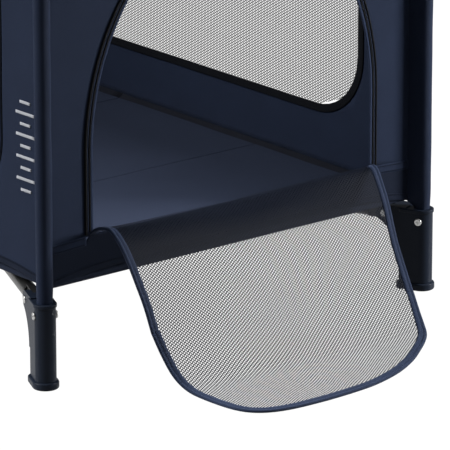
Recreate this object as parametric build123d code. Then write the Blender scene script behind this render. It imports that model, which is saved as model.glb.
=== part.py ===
from build123d import *
import os
from math import atan2, cos, degrees, hypot, sin

# Folding travel play yard: a steel frame on four corner boots and a centre foot, fabric walls
# with a zipped door at the front end, and a four-panel mattress.
# Millimetres, +Z up, +Y towards the back end, origin on the floor under the centre foot.

# ---------------------------------------------------------------- driving dimensions
LEG_X = 313.0              # leg axis from the centre, across the yard
LEG_Y = 610.0              # leg axis from the centre, along the yard
LEG_R = 9.5                # leg tube radius
LEG_BOTTOM = 26.0          # leg tube's lower end, inside the boot
LEG_TOP = 760.0            # leg tube's upper end, inside the corner bracket
TUBE_WALL = 1.5

RAIL_Z = 745.0             # height of the top rails' hinge pins
RAIL_R = 11.0              # top rail tube radius
RAIL_INSET = 45.0          # rail hinge pin from the leg axis
LATCH_HALF = 30.0          # latch hinge pin from the middle of the rail

BASE_Z = 101.0             # height of the base tubes' hinge pins
BASE_R = 10.0              # base tube radius
BOOT_REACH = 50.0          # boot hinge pin from the leg axis

PIN_R = 3.0                # every hinge pin
PIN_PLAY = 0.05            # radial play of a tube end on its pin
OPEN_PLAY = 0.5            # radial play where a closed linkage needs it
TONGUE = 10.0              # thickness of a flattened tube end
TONGUE_R = 10.0            # half its height, and its round end's radius
SLOT = 11.0                # width of the slot that the flattened end swings in
SLOT_R = 11.0              # clear radius about the pin inside a slot
TUBE_START = 24.0          # full tube section starts this far from the pin

SIDE_INSET = 16.0          # long walls' middle planes from the leg axes
END_INSET = 12.0           # end walls' middle planes from the leg axes
WALL_T = 2.4               # fabric wall thickness
WALL_LOW = 122.0           # hem height at the legs
WALL_SAG = 12.0            # hem's rise towards the middle
WALL_TOP = 709.0

DOOR_HALF = 236.0          # door opening's half width
DOOR_SILL = 181.5
DOOR_SPRING = 284.0        # where the arch starts
DOOR_ARCH = 290.0          # rise of the arch
DOOR_PLAY = 3.0            # flap edge to opening edge

FLOOR_Z = 115.5            # underside of the floor cloth
FLOOR_T = 1.2
MAT_Z = 117.0              # mattress underside
MAT_T = 15.5
MAT_HALF_X = 292.0
MAT_FOLD = 296.0           # distance between the mattress's fold lines
MAT_END = 592.0            # mattress end from the centre
MAT_GAP = 0.6

# ---------------------------------------------------------------- derived places
RUN_X = LEG_X - RAIL_INSET - LATCH_HALF          # hinge to hinge along a short rail half
RUN_Y = LEG_Y - RAIL_INSET - LATCH_HALF          # hinge to hinge along a long rail half
BASE_RUN = hypot(RUN_X, RUN_Y)                   # hinge to hinge along a base tube
UX = RUN_X / BASE_RUN                            # direction of the base tubes
UY = RUN_Y / BASE_RUN
HUB_X = LEG_X - BOOT_REACH * UX - RUN_X          # hub hinge pins
HUB_Y = LEG_Y - BOOT_REACH * UY - RUN_Y
WALL_X = LEG_X - SIDE_INSET
WALL_Y = LEG_Y - END_INSET

CORNERS = {
    "front_left": (-1, -1),
    "front_right": (1, -1),
    "back_left": (-1, 1),
    "back_right": (1, 1),
}


# ---------------------------------------------------------------- helpers
def block(x0, x1, y0, y1, z0, z1):
    """A box from its lowest and highest corners."""
    size = Box(x1 - x0, y1 - y0, z1 - z0)
    return Pos((x0 + x1) / 2, (y0 + y1) / 2, (z0 + z1) / 2) * size


def rod(radius, x0, x1, axis="z"):
    """A round bar along an axis, from x0 to x1 on it."""
    bar = Pos(0, 0, (x0 + x1) / 2) * Cylinder(radius, x1 - x0)
    turns = {"x": Rot(0, 90, 0), "y": Rot(-90, 0, 0), "z": Rot(0, 0, 0)}
    return turns[axis] * bar


def towards_hub(sx, sy):
    """Place at a leg's foot with local +X pointing along the base tube to the hub."""
    return Pos(sx * LEG_X, sy * LEG_Y, 0) * Rot(0, 0, degrees(atan2(-sy * UY, -sx * UX)))


def hinge_pin(half_length, head=5.0):
    """A rivet along Y with a domed head at each end."""
    shank = rod(PIN_R, -half_length, half_length, "y")
    cap = Pos(0, half_length, 0) * rod(head, 0, 1.6, "y")
    cap = fillet(cap.edges().group_by(Axis.Y)[-1], 1.1)
    return shank + cap + mirror(cap, Plane.XZ)


def link_tube(run, radius, far_play=PIN_PLAY):
    """A tube with flattened, drilled ends, its hinge holes at x = 0 and x = run."""
    tube = rod(radius, TUBE_START, run - TUBE_START, "x")
    tube -= rod(radius - TUBE_WALL, TUBE_START + 12, run - TUBE_START - 12, "x")
    for x, side, play in ((0, 1, PIN_PLAY), (run, -1, far_play)):
        inner = x + side * (TUBE_START + 3)
        flat = block(min(x, inner), max(x, inner), -TONGUE / 2, TONGUE / 2, -TONGUE_R, TONGUE_R)
        flat += Pos(x, 0, 0) * rod(TONGUE_R, -TONGUE / 2, TONGUE / 2, "y")
        tube += flat
        tube -= Pos(x, 0, 0) * rod(PIN_R + play, -TONGUE, TONGUE, "y")
    return tube


# ---------------------------------------------------------------- corner columns
def leg_tube():
    tube = rod(LEG_R, LEG_BOTTOM, LEG_TOP)
    return tube - rod(LEG_R - TUBE_WALL, LEG_BOTTOM - 1, LEG_TOP + 1)


def boot():
    """Moulded foot: a column round the leg, a bumper at the floor and two cheeks for the base tube."""
    half = 13.8
    inner = 29.0
    top = 111.0
    plan = Circle(half) + Pos(inner / 2, 0) * Rectangle(inner, 2 * half)
    plan = fillet(plan.vertices().group_by(Axis.X)[-1], 5.0)
    body = extrude(plan, top)
    lip = Pos(0, 0, top - 5) * extrude(offset(plan, 1.3), 5)
    lip = fillet(lip.edges().group_by(Axis.Z)[-1] + lip.edges().group_by(Axis.Z)[0], 1.2)
    bumper = extrude(offset(plan, 3.2), 10.0)
    bumper = fillet(bumper.edges().group_by(Axis.Z)[-1] + bumper.edges().group_by(Axis.Z)[0], 2.6)
    arms = Plane.XZ * make_face(
        Polyline((18, 46), (18, top + 1.5), (BOOT_REACH, top + 1.5))
        + ThreePointArc((BOOT_REACH, top + 1.5), (BOOT_REACH + 11.5, BASE_Z), (54, 90.2))
        + ThreePointArc((54, 90.2), (37, 74), (inner, 46))
        + Line((inner, 46), (18, 46))
    )
    body += lip + bumper + extrude(arms, half, both=True)
    body -= rod(LEG_R + 0.1, LEG_BOTTOM - 0.5, top + 10)
    body -= block(BOOT_REACH - SLOT_R, 90, -SLOT / 2, SLOT / 2, BASE_Z - SLOT_R, top + 10)
    body -= Pos(BOOT_REACH, 0, BASE_Z) * rod(PIN_R + 0.02, -40, 40, "y")
    return body


def bracket_arm():
    """One arm of the corner bracket, pointing along +X, slotted from below."""
    half = 13.0
    reach = RAIL_INSET + 12.5
    arm = block(0, reach, -half, half, RAIL_Z - 12.5, RAIL_Z + 16)
    arm = fillet(arm.edges().filter_by(Axis.Y).group_by(Axis.X)[-1], 9.0)
    arm = fillet(arm.edges().filter_by(Axis.X).group_by(Axis.Z)[-1], 5.0)
    return arm


def arm_slot():
    slot = block(RAIL_INSET - SLOT_R, 80, -SLOT / 2, SLOT / 2, RAIL_Z - 40, RAIL_Z + SLOT_R)
    return slot + Pos(RAIL_INSET, 0, RAIL_Z) * rod(PIN_R + 0.02, -30, 30, "y")


def corner_bracket(sx, sy):
    """Moulded top corner: a capped barrel on the leg and an arm for each top rail."""
    barrel = rod(16.5, RAIL_Z - 34, RAIL_Z + 27)
    barrel = fillet(barrel.edges().group_by(Axis.Z)[-1], 8.0)
    turns = (Rot(0, 0, 180 if sx > 0 else 0), Rot(0, 0, -90 if sy > 0 else 90))
    for turn in turns:
        barrel += turn * bracket_arm()
    for turn in turns:
        barrel -= turn * arm_slot()
    return barrel - rod(LEG_R + 0.1, RAIL_Z - 40, LEG_TOP + 0.5)


def cross_screw():
    """Pan-head screw through the boot and the leg tube, along Y."""
    head = Pos(0, 13.8, 0) * rod(5.0, 0, 2.2, "y")
    head = fillet(head.edges().group_by(Axis.Y)[-1], 1.4)
    head -= Pos(0, 16.0, 0) * Box(5.0, 2.0, 1.1)
    head -= Pos(0, 16.0, 0) * Box(1.1, 2.0, 5.0)
    return rod(2.4, -13.8, 13.8, "y") + head + Rot(0, 0, 180) * head


def leg_fasteners(sx, sy):
    """Hinge rivets and cross screw of one corner column, as separate solids."""
    to_hub = towards_hub(sx, sy)
    at_leg = Pos(sx * LEG_X, sy * LEG_Y, 0)
    pieces = [to_hub * Pos(BOOT_REACH, 0, BASE_Z) * hinge_pin(13.8)]
    pieces.append(at_leg * Pos(-sx * RAIL_INSET, 0, RAIL_Z) * hinge_pin(13.0))
    pieces.append(at_leg * Pos(0, -sy * RAIL_INSET, RAIL_Z) * Rot(0, 0, 90) * hinge_pin(13.0))
    pieces.append(to_hub * Pos(0, 0, 95) * cross_screw())
    return pieces


def cross_drill(to_hub):
    """The cross screw's hole, taken out of both the boot and the leg tube."""
    return to_hub * Pos(0, 0, 95) * rod(2.42, -30, 30, "y")


# ---------------------------------------------------------------- top rail latches
def latch_housing():
    """Moulded centre latch of a rail along X, its hinge line at z = 0, slotted from above."""
    shell = block(-44, 44, -14, 14, -20, 13)
    shell = fillet(shell.edges().filter_by(Axis.Y), 8.0)
    shell = fillet(shell.edges().group_by(Axis.Y)[0] + shell.edges().group_by(Axis.Y)[-1], 2.0)
    for side in (-1, 1):
        near = side * (LATCH_HALF - SLOT_R)
        far = side * 60
        slot = block(min(near, far), max(near, far), -SLOT / 2, SLOT / 2, -SLOT_R, 30)
        shell -= slot
        shell -= Pos(side * LATCH_HALF, 0, 0) * rod(PIN_R + 0.02, -30, 30, "y")
    return shell - block(-13.4, 13.4, -7.4, 7.4, -30, -2)


def latch_button():
    """Release button under the latch, seen from below as a rounded bar with grip ribs."""
    button = block(-13, 13, -7, 7, -25, -12)
    button = fillet(button.edges().filter_by(Axis.Z), 2.5)
    button = fillet(button.edges().group_by(Axis.Z)[0], 1.5)
    for k in range(-2, 3):
        button -= Pos(k * 4.0, 0, -25) * Box(1.6, 10, 1.2)
    return button


def latch_spring():
    """Bowed leaf spring between the button and the roof of its pocket."""
    low = -11.7
    outer = ThreePointArc((-10.5, low), (0, -2.2), (10.5, low))
    inner = ThreePointArc((9.8, low), (0, -2.8), (-9.8, low))
    feet = Line((10.5, low), (9.8, low)) + Line((-9.8, low), (-10.5, low))
    return extrude(Plane.XZ * make_face(outer + inner + feet), 3, both=True)


def latch_pins():
    pins = []
    for side in (-1, 1):
        pins.append(Pos(side * LATCH_HALF, 0, 0) * hinge_pin(14.0, 4.6))
    return pins


# ---------------------------------------------------------------- hub
def hub():
    """Centre casting: four forked lugs on a plate, over a foot that stands on the floor."""
    top = BASE_Z + 9.5
    plate = extrude(Pos(0, 0, top - 22) * RectangleRounded(96, 62, 14), 22)
    for sx, sy in CORNERS.values():
        out = Pos(sx * HUB_X, sy * HUB_Y, 0) * Rot(0, 0, degrees(atan2(sy * UY, sx * UX)))
        lug = block(-26, 11.5, -14, 14, top - 22, top)
        lug = fillet(lug.edges().filter_by(Axis.Z).group_by(Axis.X)[-1], 4.0)
        plate += out * lug
    plate += rod(21, 4, top - 20)
    sole = rod(30, 0, 12)
    plate += fillet(sole.edges().group_by(Axis.Z)[-1], 6.0)
    for sx, sy in CORNERS.values():
        out = Pos(sx * HUB_X, sy * HUB_Y, 0) * Rot(0, 0, degrees(atan2(sy * UY, sx * UX)))
        plate -= out * block(-SLOT_R, 40, -SLOT / 2, SLOT / 2, 60, top + 10)
        plate -= out * Pos(0, 0, BASE_Z) * rod(PIN_R + 0.02, -40, 40, "y")
    return plate


def hub_pins():
    pins = []
    for sx, sy in CORNERS.values():
        out = Pos(sx * HUB_X, sy * HUB_Y, 0) * Rot(0, 0, degrees(atan2(sy * UY, sx * UX)))
        pins.append(out * Pos(0, 0, BASE_Z) * rod(PIN_R, -13.8, 13.8, "y"))
    return pins


def hub_strap():
    """Webbing loop that pulls the hub up, lying flat on top of it."""
    low = BASE_Z + 9.7
    outer = Pos(0, low + 2.2) * SlotOverall(150, 4.4)
    inner = Pos(0, low + 2.2) * SlotOverall(147, 1.4)
    return extrude(Plane.XZ * (outer - inner), 12.5, both=True)


# ---------------------------------------------------------------- fabric
def end_panel(with_door):
    """End wall, drawn in the XZ plane about y = 0, with its raised hem and the arched door."""
    half = WALL_X - WALL_T / 2 - 0.5
    edge = Polyline((-half, WALL_LOW), (-half, WALL_TOP), (half, WALL_TOP), (half, WALL_LOW))
    hem = ThreePointArc((half, WALL_LOW), (0, WALL_LOW + WALL_SAG), (-half, WALL_LOW))
    outline = make_face(edge + hem)
    if with_door:
        outline -= door_outline(0)
    return extrude(Plane.XZ * outline, WALL_T / 2, both=True)


def door_outline(margin):
    """The door's arch: upright sides, then half an ellipse."""
    half = DOOR_HALF - margin
    sides = Pos(0, (DOOR_SILL + DOOR_SPRING) / 2) * Rectangle(2 * half, DOOR_SPRING - DOOR_SILL)
    return sides + Pos(0, DOOR_SPRING) * Ellipse(half, DOOR_ARCH - margin)


def side_panel():
    """Long wall, drawn about x = 0."""
    half = WALL_Y + WALL_T / 2
    edge = Polyline((-half, WALL_LOW), (-half, WALL_TOP), (half, WALL_TOP), (half, WALL_LOW))
    hem = ThreePointArc((half, WALL_LOW), (0, WALL_LOW + WALL_SAG), (-half, WALL_LOW))
    return extrude(Plane.YZ * make_face(edge + hem), WALL_T / 2, both=True)


def floor_cloth():
    half_x = WALL_X - 3.0
    half_y = WALL_Y - 3.0
    return block(-half_x, half_x, -half_y, half_y, FLOOR_Z, FLOOR_Z + FLOOR_T)


def ribbon(line, thickness):
    """A face of even thickness along a line of (y, z) points."""
    left = []
    right = []
    for k, (y, z) in enumerate(line):
        before = line[max(k - 1, 0)]
        after = line[min(k + 1, len(line) - 1)]
        heading = atan2(after[1] - before[1], after[0] - before[0])
        dy = -sin(heading) * thickness / 2
        dz = cos(heading) * thickness / 2
        left.append((y + dy, z + dz))
        right.append((y - dy, z - dz))
    return make_face(Polyline(left + right[::-1], close=True))


# The flap hangs open: out over the sill, down, and then along the floor.
FLAP_UPPER = [(-603, 182.5), (-611, 188.5), (-624, 193.5), (-641, 193), (-660, 180), (-676, 152),
              (-690, 114), (-700, 80)]
FLAP_LOWER = [(-701, 76), (-708, 56), (-721, 30), (-738, 13), (-764, 6), (-810, 4.5), (-873, 4.5)]
FLAP_T = 3.0
FLAP_BEND_Y = -701.0
FLAP_BEND_HALF = 213.0


def flap_upper():
    """Door flap from the sill to its bend, narrowing slightly."""
    sheet = extrude(Plane.YZ * ribbon(FLAP_UPPER, FLAP_T), DOOR_HALF, both=True)
    sill_half = DOOR_HALF - DOOR_PLAY
    sides = Polyline(
        (-sill_half, -570), (-FLAP_BEND_HALF, FLAP_BEND_Y - 10),
        (FLAP_BEND_HALF, FLAP_BEND_Y - 10), (sill_half, -570), close=True)
    return sheet & extrude(make_face(sides), 300)


def flap_lower():
    """Door flap from its bend to its rounded end on the floor."""
    sheet = extrude(Plane.YZ * ribbon(FLAP_LOWER, FLAP_T), DOOR_HALF, both=True)
    plan = Pos(0, FLAP_BEND_Y) * Ellipse(FLAP_BEND_HALF, 874 + FLAP_BEND_Y)
    plan += Pos(0, FLAP_BEND_Y + 10) * Rectangle(2 * FLAP_BEND_HALF, 20)
    return sheet & extrude(plan, 300)


def mattress_panel(y0, y1):
    panel = block(-MAT_HALF_X, MAT_HALF_X, y0, y1, MAT_Z, MAT_Z + MAT_T)
    return fillet(panel.edges().filter_by(Axis.Y), 5.0)


def zip_slider():
    """Slider body with its hanging pull, standing out along -Y from a face at y = 0."""
    body = block(-4.5, 4.5, -4.2, 0, 0, 13)
    body = fillet(body.edges().filter_by(Axis.Y), 2.5)
    pull = block(-2.6, 2.6, -6.2, -4.6, -22, 9)
    pull = fillet(pull.edges().filter_by(Axis.Y), 2.0)
    bridge = block(-1.6, 1.6, -5.2, -4.0, 4, 8)
    return body + pull + bridge


# ---------------------------------------------------------------- assembly
def assembly():
    """Every node of the play yard with its solids in place."""
    nodes = {}
    for name, (sx, sy) in CORNERS.items():
        at_leg = Pos(sx * LEG_X, sy * LEG_Y, 0)
        to_hub = towards_hub(sx, sy)
        drill = cross_drill(to_hub)
        nodes["leg_tube_" + name] = at_leg * leg_tube() - drill
        nodes["boot_" + name] = to_hub * boot() - drill
        nodes["corner_bracket_" + name] = at_leg * corner_bracket(sx, sy)
        nodes["leg_fasteners_" + name] = leg_fasteners(sx, sy)
        at_pin = to_hub * Pos(BOOT_REACH, 0, BASE_Z)
        nodes["base_tube_" + name] = at_pin * link_tube(BASE_RUN, BASE_R)
    for end, sy in (("front", -1), ("back", 1)):
        for side, sx in (("left", -1), ("right", 1)):
            play = PIN_PLAY if sx < 0 else OPEN_PLAY
            place = Pos(sx * (LEG_X - RAIL_INSET), sy * LEG_Y, RAIL_Z)
            turn = Rot(0, 0, 180 if sx > 0 else 0)
            nodes[f"rail_{end}_{side}"] = place * turn * link_tube(RUN_X, RAIL_R, play)
            play = PIN_PLAY if sy < 0 else OPEN_PLAY
            place = Pos(sx * LEG_X, sy * (LEG_Y - RAIL_INSET), RAIL_Z)
            turn = Rot(0, 0, -90 if sy > 0 else 90)
            nodes[f"rail_{side}_{end}"] = place * turn * link_tube(RUN_Y, RAIL_R, play)
    middles = {
        "front": Pos(0, -LEG_Y, RAIL_Z),
        "back": Pos(0, LEG_Y, RAIL_Z),
        "left": Pos(-LEG_X, 0, RAIL_Z) * Rot(0, 0, 90),
        "right": Pos(LEG_X, 0, RAIL_Z) * Rot(0, 0, 90),
    }
    for name, place in middles.items():
        nodes["latch_housing_" + name] = place * latch_housing()
        nodes["latch_button_" + name] = place * latch_button()
        nodes["latch_spring_" + name] = place * latch_spring()
        nodes["latch_pins_" + name] = [place * pin for pin in latch_pins()]
    nodes["hub"] = hub()
    nodes["hub_pins"] = hub_pins()
    nodes["hub_strap"] = hub_strap()
    nodes["wall_front"] = Pos(0, -WALL_Y, 0) * end_panel(True)
    nodes["wall_back"] = Pos(0, WALL_Y, 0) * end_panel(False)
    nodes["wall_left"] = Pos(-WALL_X, 0, 0) * side_panel()
    nodes["wall_right"] = Pos(WALL_X, 0, 0) * side_panel()
    nodes["floor_cloth"] = floor_cloth()
    nodes["door_flap_upper"] = flap_upper()
    nodes["door_flap_lower"] = flap_lower()
    slider_y = -WALL_Y + WALL_T / 2 + 0.3
    for side, sx in (("left", -1), ("right", 1)):
        place = Pos(sx * (DOOR_HALF + 3.0), slider_y, DOOR_SILL + 3.0) * Rot(0, 0, 180)
        nodes["zip_slider_" + side] = place * zip_slider()
    inner = MAT_GAP / 2
    panels = [
        (-MAT_END, -MAT_FOLD - inner),
        (-MAT_FOLD + inner, -inner),
        (inner, MAT_FOLD - inner),
        (MAT_FOLD + inner, MAT_END),
    ]
    for k, (y0, y1) in enumerate(panels, 1):
        nodes[f"mattress_panel_{k}"] = mattress_panel(y0, y1)
    return nodes


os.makedirs("parts", exist_ok=True)
for node, shape in assembly().items():
    solids = Compound(children=list(shape)) if isinstance(shape, list) else shape
    export_step(solids, f"parts/{node}.step")
    print(f"{node}: {solids.volume / 1000:.1f} cm3")
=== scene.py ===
import math

import bmesh
import bpy
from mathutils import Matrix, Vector, noise


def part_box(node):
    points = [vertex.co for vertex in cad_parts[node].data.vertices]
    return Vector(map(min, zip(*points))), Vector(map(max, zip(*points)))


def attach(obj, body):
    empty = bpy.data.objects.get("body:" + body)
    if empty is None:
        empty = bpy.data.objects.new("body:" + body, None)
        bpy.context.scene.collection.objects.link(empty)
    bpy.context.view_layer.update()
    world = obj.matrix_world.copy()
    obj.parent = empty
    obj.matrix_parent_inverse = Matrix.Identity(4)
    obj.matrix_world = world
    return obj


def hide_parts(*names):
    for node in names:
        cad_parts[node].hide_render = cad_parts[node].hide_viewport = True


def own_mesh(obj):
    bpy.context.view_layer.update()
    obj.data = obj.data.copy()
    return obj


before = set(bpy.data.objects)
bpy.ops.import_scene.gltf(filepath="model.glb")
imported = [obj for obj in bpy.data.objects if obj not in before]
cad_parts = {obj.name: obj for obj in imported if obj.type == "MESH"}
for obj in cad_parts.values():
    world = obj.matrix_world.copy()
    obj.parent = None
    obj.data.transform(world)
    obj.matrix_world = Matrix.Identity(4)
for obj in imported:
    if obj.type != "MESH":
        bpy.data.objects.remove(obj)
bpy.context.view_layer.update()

# Looks of the travel play yard: fabric walls on a folding frame, an arched door that hangs open
# over the sill at the front end, mesh windows, padded rails and a folding mattress. Metres.

# ---- places read from the frame


def centre(node):
    low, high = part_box(node)
    return (low + high) / 2


CORNERS = {
    "front_left": (-1, -1),
    "front_right": (1, -1),
    "back_left": (-1, 1),
    "back_right": (1, 1),
}
LEG = {name: centre("leg_tube_" + name) for name in CORNERS}
LEG_R = (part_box("leg_tube_front_left")[1].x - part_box("leg_tube_front_left")[0].x) / 2
WALL_X = centre("wall_right").x
WALL_Y = centre("wall_back").y
RAIL_Z = centre("rail_front_left").z
BOOT_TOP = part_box("boot_front_left")[1].z
BRACKET_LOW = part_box("corner_bracket_front_left")[0].z
WALL_TOP = RAIL_Z - 0.013
LATCH_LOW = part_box("latch_housing_front")[0].z
LATCH_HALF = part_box("latch_housing_front")[1].x
HEM_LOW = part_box("wall_left")[0].z
MAT_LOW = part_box("mattress_panel_2")[0].z
PAD_REACH_X = WALL_X - 0.0036   # the mattress's pads end this close to the walls' middle planes
PAD_REACH_Y = WALL_Y - 0.0012

HEM_RISE = 0.0115            # the hem is this much higher away from the legs
HEM_CURVE = 0.11             # and falls over this last stretch to a leg
SEAM_LEG = 0.1650            # the band's upper seam at the legs
SEAM_DOOR = 0.1675           # and at the door
SEAM_FOLD = 0.0125           # width of the seam's folded overlap
SILL = 0.1815
DOOR_HALF = 0.236
DOOR_SPRING = 0.284          # where the door's arch starts
DOOR_RISE = 0.29             # the arch's rise
DOOR_EDGE = 0.0042           # the opening's edge lies this far inside the zip's line
WINDOW_LOW = 0.213
WINDOW_TOP = 0.690
WINDOW_R = 0.085             # window corner radius
WINDOW_END = 0.500           # long window's end from the middle
WINDOW_BACK = 0.212          # back window's half width
BINDING = 0.0115             # width of the windows' inside binding

PANEL_THICK = 0.0011         # cloths
BAND_THICK = 0.0012
SLEEVE_THICK = 0.0006
FLOOR_THICK = 0.0009
STITCH_PITCH = 0.0034
STITCH_LENGTH = 0.0021
STITCH_R = 0.00060
HEM_WIDTH = 0.0095           # width of the turned hem
SLEEVE_EASE = 0.0011         # room between a leg tube and its sleeve
TAIL_HALF = 0.0012           # half thickness of the sleeve's sewn tail
PIPING_R = 0.0016
RAIL_BARE = 0.038            # a rail half's end that its pad leaves bare
RAIL_PAD_R = 0.0172
PAD_END_R = 0.0113           # the rail pad's end, drawn in to the tube

# How far the folded yard closes up.
FOLD_KEEP_X = 0.238
FOLD_KEEP_Y = 0.152


# ---- node helpers
class Shader:
    """A material under construction, with short calls for the nodes it needs."""

    def __init__(self, name):
        self.material = bpy.data.materials.new(name)
        self.material.use_nodes = True
        self.tree = self.material.node_tree
        self.bsdf = self.tree.nodes["Principled BSDF"]

    def add(self, kind, **inputs):
        node = self.tree.nodes.new(kind)
        for key, value in inputs.items():
            self.feed(node.inputs[key.replace("_", " ")], value)
        return node

    def feed(self, socket, value):
        if isinstance(value, bpy.types.NodeSocket):
            self.tree.links.new(value, socket)
        else:
            socket.default_value = value

    def math(self, operation, a, b=0.0):
        node = self.tree.nodes.new("ShaderNodeMath")
        node.operation = operation
        self.feed(node.inputs[0], a)
        self.feed(node.inputs[1], b)
        return node.outputs[0]

    def place(self, output="Object"):
        return self.add("ShaderNodeTexCoord").outputs[output]

    def split(self, vector):
        return self.add("ShaderNodeSeparateXYZ", Vector=vector).outputs

    def noise(self, scale, detail=3.0):
        node = self.add("ShaderNodeTexNoise", Scale=scale, Detail=detail, Vector=self.place())
        return node.outputs["Fac"]

    def mix(self, share, a, b):
        node = self.tree.nodes.new("ShaderNodeMix")
        node.data_type = "RGBA"
        self.feed(node.inputs["Factor"], share)
        self.feed(node.inputs["A"], a)
        self.feed(node.inputs["B"], b)
        return node.outputs["Result"]

    def spread(self, value, low, high, to_low=0.0, to_high=1.0):
        node = self.tree.nodes.new("ShaderNodeMapRange")
        self.feed(node.inputs["Value"], value)
        limits = {"From Min": low, "From Max": high, "To Min": to_low, "To Max": to_high}
        for key, number in limits.items():
            node.inputs[key].default_value = number
        return node.outputs["Result"]

    def bump(self, height, distance, strength=1.0):
        node = self.add("ShaderNodeBump", Strength=strength, Distance=distance, Height=height)
        self.feed(self.bsdf.inputs["Normal"], node.outputs["Normal"])

    def set(self, **sockets):
        for key, value in sockets.items():
            self.feed(self.bsdf.inputs[key.replace("_", " ")], value)


def rgb(r, g, b):
    return (r, g, b, 1.0)


def scaled(colour, factor):
    return (colour[0] * factor, colour[1] * factor, colour[2] * factor, 1.0)


def woven(name, colour, pitch=0.0009, relief=0.00010, roughness=0.78, sheen=0.04, patchy=0.12,
          gloss=0.05):
    """Cloth: two crossing thread directions, patchy colour and a soft sheen."""
    s = Shader(name)
    x, y, z = s.split(s.place())
    across = s.math("SINE", s.math("MULTIPLY", s.math("ADD", x, y), 2 * math.pi / pitch))
    rise = s.math("SUBTRACT", s.math("ADD", z, s.math("MULTIPLY", x, 0.4)), s.math("MULTIPLY", y, 0.4))
    along = s.math("SINE", s.math("MULTIPLY", rise, 2 * math.pi / pitch))
    weave = s.math("MULTIPLY", across, along)
    cloud = s.noise(22.0, 5.0)
    grain = s.noise(900.0, 2.0)
    shade = s.math("ADD", s.math("MULTIPLY", cloud, 0.6), s.math("MULTIPLY", grain, 0.4))
    base = s.mix(s.spread(shade, 0.3, 0.7), scaled(colour, 1 - patchy), scaled(colour, 1 + patchy))
    base = s.mix(s.spread(weave, -1.0, 1.0, 0.0, 0.35), base, scaled(colour, 0.62))
    s.set(Base_Color=base, Roughness=roughness, Specular_IOR_Level=gloss, Sheen_Weight=sheen,
          Sheen_Roughness=0.45, Sheen_Tint=rgb(0.45, 0.55, 0.85))
    s.bump(s.math("ADD", weave, s.math("MULTIPLY", grain, 0.8)), relief)
    return s.material


def netting(name, colour, pitch, thread, pull=1.0):
    """Knitted mesh with hexagonal holes, pulled longer along v, on the sheet's own UVs in metres."""
    s = Shader(name)
    u, v, _ = s.split(s.place("UV"))
    flat = 1.0 / (pitch * math.sqrt(3))
    steep = 1.0 / (pitch * pull)
    cover = 0.0
    for across, up in ((flat, steep), (flat, -steep), (2 * flat, 0.0)):
        turns = s.math("ADD", s.math("MULTIPLY", u, across), s.math("MULTIPLY", v, up))
        away = s.math("ABSOLUTE", s.math("SUBTRACT", s.math("FRACT", turns), 0.5))
        line = s.spread(away, thread / 2 + 0.03, thread / 2 - 0.03)
        cover = s.math("MAXIMUM", line, cover)
    grain = s.noise(1400.0, 2.0)
    base = s.mix(grain, scaled(colour, 0.75), scaled(colour, 1.35))
    s.set(Base_Color=base, Roughness=0.6, Specular_IOR_Level=0.04, Alpha=cover)
    s.bump(cover, 0.0003)
    return s.material


def moulded(name, colour, roughness):
    """Moulded plastic with a fine spark-eroded grain, slight mottling and scuffs near the floor."""
    s = Shader(name)
    fine = s.noise(1600.0, 2.0)
    broad = s.noise(14.0, 3.0)
    z = s.split(s.place())[2]
    scuff = s.math("MULTIPLY", s.spread(z, 0.03, 0.0), s.spread(s.noise(160.0, 4.0), 0.5, 0.72))
    base = s.mix(s.spread(broad, 0.3, 0.7), scaled(colour, 0.9), scaled(colour, 1.12))
    base = s.mix(s.math("MULTIPLY", scuff, 0.35), base, scaled(colour, 2.6))
    dull = s.spread(fine, 0.2, 0.8, roughness - 0.05, roughness + 0.09)
    s.set(Base_Color=base, Roughness=dull, Specular_IOR_Level=0.06)
    s.bump(fine, 0.00006)
    return s.material


def coated_steel():
    s = Shader("coated_steel")
    fine = s.noise(520.0, 3.0)
    base = s.mix(s.noise(9.0, 2.0), rgb(0.009, 0.009, 0.009), rgb(0.016, 0.016, 0.0155))
    s.set(Base_Color=base, Roughness=s.spread(fine, 0.3, 0.7, 0.28, 0.40),
          Specular_IOR_Level=0.25, Coat_Weight=0.1, Coat_Roughness=0.2)
    s.bump(fine, 0.00008)
    return s.material


def plated():
    s = Shader("zinc_plated")
    colour = rgb(0.40, 0.40, 0.395)
    fine = s.noise(700.0, 4.0)
    base = s.mix(fine, scaled(colour, 0.72), scaled(colour, 1.1))
    s.set(Base_Color=base, Metallic=1.0, Roughness=s.spread(fine, 0.2, 0.8, 0.22, 0.42))
    s.bump(fine, 0.00005)
    return s.material


def zip_coil_material(colour):
    """Nylon coil: closely spaced teeth across the line of the zip."""
    s = Shader("zip_coil_black")
    u = s.split(s.place("UV"))[0]
    teeth = s.math("SINE", s.math("MULTIPLY", u, 2 * math.pi / 0.0016))
    base = s.mix(s.spread(teeth, -1.0, 1.0), scaled(colour, 0.6), scaled(colour, 2.2))
    s.set(Base_Color=base, Roughness=0.45, Specular_IOR_Level=0.08)
    s.bump(teeth, 0.0004)
    return s.material


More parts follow.
